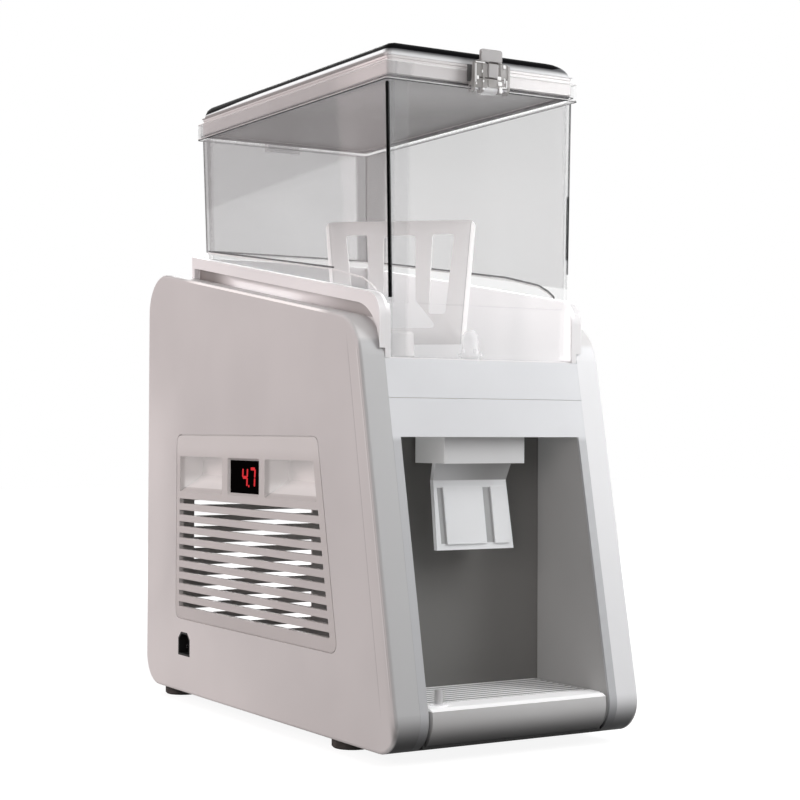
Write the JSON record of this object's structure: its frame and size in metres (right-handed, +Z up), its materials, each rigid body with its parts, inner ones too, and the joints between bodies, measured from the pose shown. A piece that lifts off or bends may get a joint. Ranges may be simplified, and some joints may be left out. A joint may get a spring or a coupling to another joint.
{
  "type": "refrigerated drink dispenser",
  "caption": "Countertop cold drink dispenser: clear lift-out tank with hinged lid and stirring paddle over a leaning cabinet with a cup nook, push lever and drip tray.",
  "frame": {"origin": "bottom centre of the bounding box, on the surface it stands on", "axes": "+Z up, the front with the cup nook faces -Y, +X to the viewer's right from the front"},
  "size_m": [0.247, 0.5034, 0.6025],
  "materials": {
    "shell_white": "fine satin",
    "panel_white": "smooth satin",
    "liner_grey": "satin",
    "tray_grey": "satin",
    "clear_plastic": "clear, gloss",
    "lid_black": "gloss",
    "lid_white": "gloss",
    "seal_black": "matte",
    "foot_rubber": "matte",
    "display_black": "gloss",
    "socket_black": "satin",
    "blade_metal": "bright",
    "pin_steel": "polished",
    "stirrer_white": "satin",
    "cold_metal": "brushed",
    "copper_tube": "dull",
    "foam": "matte foam",
    "motor_black": "satin",
    "board_green": "satin",
    "fan_black": "satin"
  },
  "bodies": {
    "body": {"left_side_cover": "shell_white", "right_side_cover": "shell_white", "left_grille_panel": "shell_white", "right_grille_panel": "shell_white", "display_frame": "shell_white", "display_window": "display_black", "inlet_socket": "socket_black", "inlet_blades": "blade_metal", "base_pan": "panel_white", "rear_cover": "shell_white", "front_panel": "panel_white", "front_surround": "panel_white", "nook_liner": "liner_grey", "tank_bed": "panel_white", "front_left_foot": "foot_rubber", "rear_left_foot": "foot_rubber", "front_right_foot": "foot_rubber", "rear_right_foot": "foot_rubber", "cold_plate": "cold_metal", "cooling_tube": "copper_tube", "foam_slab": "foam", "stirrer_motor": "motor_black", "compressor": "motor_black", "compressor_bracket": "cold_metal", "condenser": "cold_metal", "fan_shroud": "fan_black", "fan_motor": "fan_black", "control_board": "board_green", "dispensing_head": "panel_white", "drop_tube": "panel_white", "lever_pin": "pin_steel"},
    "tank": {"tank": "clear_plastic", "outlet_dome": "clear_plastic", "outlet_spout": "clear_plastic", "stirrer_spindle": "clear_plastic", "hinge_bracket": "clear_plastic", "hinge_pin": "pin_steel", "latch_bracket": "clear_plastic", "latch_pin": "pin_steel"},
    "lid": {"lid_tray": "lid_white", "lid_top": "lid_black", "lid_seal": "seal_black", "lid_knuckle": "clear_plastic", "latch_catch": "lid_white"},
    "latch": {"latch_arm": "clear_plastic"},
    "stirrer": {"stirrer": "stirrer_white"},
    "lever": {"lever": "panel_white"},
    "plunger": {"valve_plunger": "pin_steel"},
    "drip_tray": {"drip_tray": "tray_grey", "float_collar": "clear_plastic"},
    "drip_grille": {"drip_grille": "tray_grey"},
    "float": {"float_pin": "tray_grey"},
    "fan": {"fan_blades": "fan_black"}
  },
  "joints": [
    {"name": "tank_lift", "type": "slide", "parent": "body", "child": "tank", "axis": [0, 0, 1], "range_m": [0, 0.16]},
    {"name": "lid_hinge", "type": "hinge", "parent": "tank", "child": "lid", "pos_m": [0, 0.18925, 0.586], "axis": [-1, 0, 0], "range_deg": [0, 100]},
    {"name": "latch_turn", "type": "hinge", "parent": "tank", "child": "latch", "pos_m": [0, -0.19795, 0.567], "axis": [1, 0, 0], "range_deg": [0, 110]},
    {"name": "stirrer_spin", "type": "hinge", "parent": "tank", "child": "stirrer", "pos_m": [0, -0.05135, 0.35], "axis": [0, 0, 1], "continuous": true},
    {"name": "lever_tilt", "type": "hinge", "parent": "body", "child": "lever", "pos_m": [0, -0.18575, 0.256], "axis": [1, 0, 0], "range_deg": [0, 10], "stiffness_Nm_per_rad": 1.5, "springref_deg": -5.73},
    {"name": "plunger_rise", "type": "slide", "parent": "body", "child": "plunger", "axis": [0, 0, 1], "range_m": [0, 0.003]},
    {"name": "tray_slide", "type": "slide", "parent": "body", "child": "drip_tray", "axis": [0, -1, 0], "range_m": [0, 0.105]},
    {"name": "grille_lift", "type": "slide", "parent": "drip_tray", "child": "drip_grille", "axis": [0, 0, 1], "range_m": [0, 0.03]},
    {"name": "float_rise", "type": "slide", "parent": "drip_tray", "child": "float", "axis": [0, 0, 1], "range_m": [0, 0.008]},
    {"name": "fan_spin", "type": "hinge", "parent": "body", "child": "fan", "pos_m": [0.07, 0.11825, 0.092], "axis": [1, 0, 0], "continuous": true}
  ],
  "couplings": [
    {"joint": "plunger_rise", "follows": "lever_tilt", "m_per_rad": 0.015}
  ]
}
